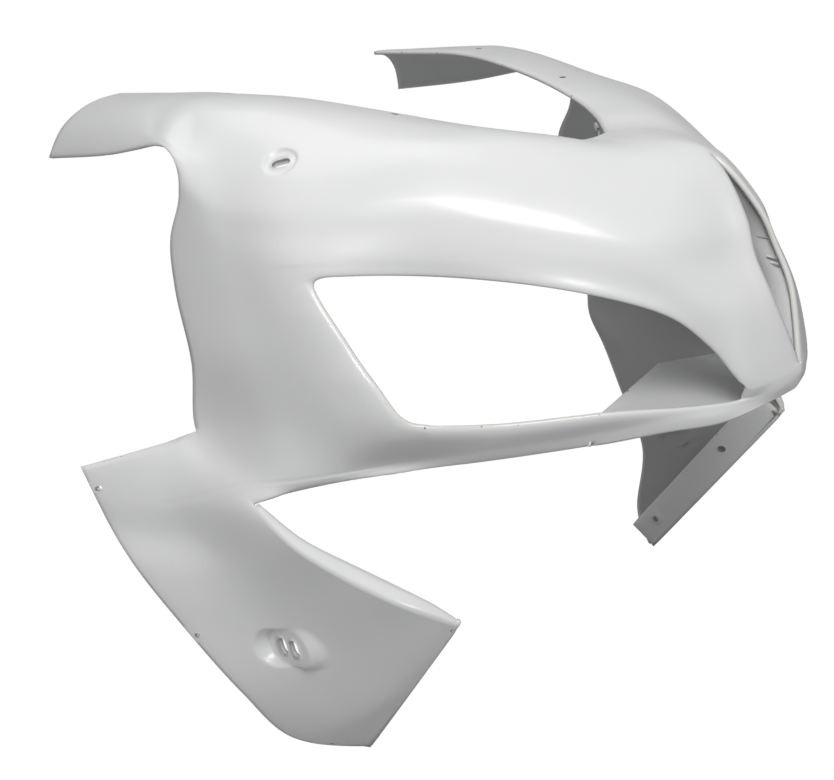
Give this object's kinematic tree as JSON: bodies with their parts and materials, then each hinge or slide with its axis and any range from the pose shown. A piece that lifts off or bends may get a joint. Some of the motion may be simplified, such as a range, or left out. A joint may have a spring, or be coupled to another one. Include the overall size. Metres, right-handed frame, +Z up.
{
  "type": "motorcycle nose fairing",
  "caption": "One-piece nose fairing shell for a sports motorcycle, with windscreen cut-out, paired headlight windows, intake slot and flared lower arms.",
  "frame": {"origin": "middle of the moulding's bounding box", "axes": "+Z up, -Y towards the front of the motorcycle, +X towards the rider's left"},
  "size_m": [0.632, 0.5332, 0.5606],
  "materials": {
    "shell": "unpainted white moulding, semi-gloss outside, dull inside"
  },
  "bodies": {
    "root": {"nose_fairing": "shell"}
  },
  "joints": []
}
